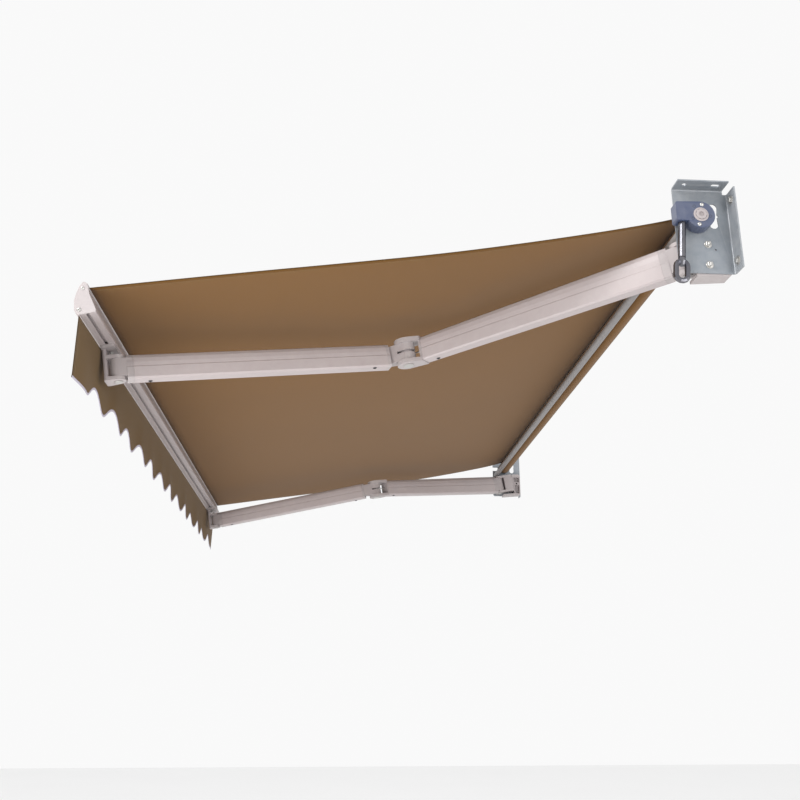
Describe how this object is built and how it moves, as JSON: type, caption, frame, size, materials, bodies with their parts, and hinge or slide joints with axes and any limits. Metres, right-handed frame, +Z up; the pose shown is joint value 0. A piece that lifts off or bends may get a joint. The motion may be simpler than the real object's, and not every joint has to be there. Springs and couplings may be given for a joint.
{
  "type": "folding-arm awning",
  "caption": "Wall-hung folding-arm canvas awning: roller with worm gearbox, hinged spring arms, hollow front bar, sloping canopy and scalloped front valance.",
  "frame": {"origin": "on the wall plane, at half the width and at the height of the roller's axis", "axes": "+X along the wall towards the crank gearbox, -Y out from the wall, +Z up"},
  "size_m": [2.994, 1.7232, 0.5767],
  "materials": {
    "grey_paint": "semi-gloss powder coat",
    "blue_paint": "semi-gloss powder coat",
    "dark_paint": "satin powder coat",
    "arm_paint": "satin powder coat",
    "casting_paint": "satin powder coat",
    "cover_plastic": "satin",
    "bearing_plastic": "satin",
    "zinc_steel": "zinc plated",
    "galvanised": "galvanised",
    "dark_steel": "polished dark steel",
    "bronze": "machined",
    "spring_steel": "oiled",
    "canvas": "woven acrylic canvas",
    "canvas_valance": "woven acrylic canvas"
  },
  "bodies": {
    "wall_frame": {"right_end_plate": "grey_paint", "left_end_plate": "grey_paint", "tie_bar": "dark_paint", "idler_bearing": "bearing_plastic", "gearbox_back": "blue_paint", "gearbox_case": "blue_paint", "shoulder_support_right": "casting_paint", "shoulder_support_left": "casting_paint", "shoulder_clevis_right": "casting_paint", "shoulder_clevis_left": "casting_paint", "shoulder_pin_right": "zinc_steel", "shoulder_pin_left": "zinc_steel", "canopy": "canvas"},
    "roller": {"roller_tube": "galvanised", "fabric_roll": "canvas", "roller_plug_right": "galvanised", "roller_plug_left": "galvanised", "worm_wheel": "bronze"},
    "crank": {"worm_shaft": "zinc_steel", "crank_eye": "dark_steel"},
    "rear_arm_right": {"shoulder_knuckle_right": "casting_paint", "rear_arm_right": "arm_paint", "elbow_fork_right": "casting_paint", "elbow_pin_right": "zinc_steel", "arm_spring_right": "spring_steel", "arm_cable_right": "spring_steel"},
    "front_arm_right": {"elbow_tongue_right": "casting_paint", "front_arm_right": "arm_paint", "wrist_knuckle_right": "casting_paint"},
    "wrist_right": {"wrist_bracket_right": "casting_paint", "wrist_pin_right": "zinc_steel", "slot_bolt_right": "zinc_steel"},
    "rear_arm_left": {"shoulder_knuckle_left": "casting_paint", "rear_arm_left": "arm_paint", "elbow_fork_left": "casting_paint", "elbow_pin_left": "zinc_steel", "arm_spring_left": "spring_steel", "arm_cable_left": "spring_steel"},
    "front_arm_left": {"elbow_tongue_left": "casting_paint", "front_arm_left": "arm_paint", "wrist_knuckle_left": "casting_paint"},
    "wrist_left": {"wrist_bracket_left": "casting_paint", "wrist_pin_left": "zinc_steel", "slot_bolt_left": "zinc_steel"},
    "front_bar": {"front_bar": "arm_paint", "bar_end_cap_right": "cover_plastic", "bar_end_cap_left": "cover_plastic", "valance": "canvas_valance"}
  },
  "joints": [
    {"name": "right_shoulder", "type": "hinge", "parent": "wall_frame", "child": "rear_arm_right", "pos_m": [1.413, -0.12, -0.14555], "axis": [0, 0.1654, -0.9862], "range_deg": [0, 59.6], "deforming": ["canopy"]},
    {"name": "right_elbow", "type": "hinge", "parent": "rear_arm_right", "child": "front_arm_right", "pos_m": [0.98489, -0.83964, -0.26624], "axis": [0, -0.1654, 0.9862], "range_deg": [0, 128.2]},
    {"name": "right_wrist", "type": "hinge", "parent": "front_arm_right", "child": "wrist_right", "pos_m": [1.16512, -1.65483, -0.40294], "axis": [0, 0.1654, -0.9862], "range_deg": [0, 68.6]},
    {"name": "bar_slide", "type": "slide", "parent": "wrist_right", "child": "front_bar", "axis": [-1, 0, 0], "range_m": [0, 0.2373]},
    {"name": "left_shoulder", "type": "hinge", "parent": "wall_frame", "child": "rear_arm_left", "pos_m": [-1.413, -0.12, -0.14555], "axis": [0, -0.1654, 0.9862], "range_deg": [0, 59.7]},
    {"name": "left_elbow", "type": "hinge", "parent": "rear_arm_left", "child": "front_arm_left", "pos_m": [-0.98489, -0.83964, -0.26624], "axis": [0, 0.1654, -0.9862], "range_deg": [0, 128.2]},
    {"name": "left_wrist", "type": "hinge", "parent": "front_arm_left", "child": "wrist_left", "pos_m": [-1.16512, -1.65483, -0.40294], "axis": [0, -0.1654, 0.9862], "range_deg": [0, 68.6]},
    {"name": "roller_spin", "type": "hinge", "parent": "wall_frame", "child": "roller", "pos_m": [0, -0.0963, 0], "axis": [-1, 0, 0], "range_deg": [0, 2468]},
    {"name": "crank_spin", "type": "hinge", "parent": "wall_frame", "child": "crank", "pos_m": [1.468, -0.14198, 0.0044], "axis": [0, -0.0958, -0.9954], "range_deg": [0, 27145]}
  ],
  "couplings": [
    {"joint": "right_elbow", "follows": "right_shoulder", "ratio": 2.15},
    {"joint": "right_wrist", "follows": "right_shoulder", "ratio": 1.15},
    {"joint": "bar_slide", "follows": "right_shoulder", "m_per_rad": 0.22793},
    {"joint": "left_shoulder", "follows": "right_shoulder", "ratio": 1},
    {"joint": "left_elbow", "follows": "right_shoulder", "ratio": 2.15},
    {"joint": "left_wrist", "follows": "right_shoulder", "ratio": 1.15},
    {"joint": "roller_spin", "follows": "right_shoulder", "ratio": 41.4},
    {"joint": "crank_spin", "follows": "right_shoulder", "ratio": 455.4}
  ]
}
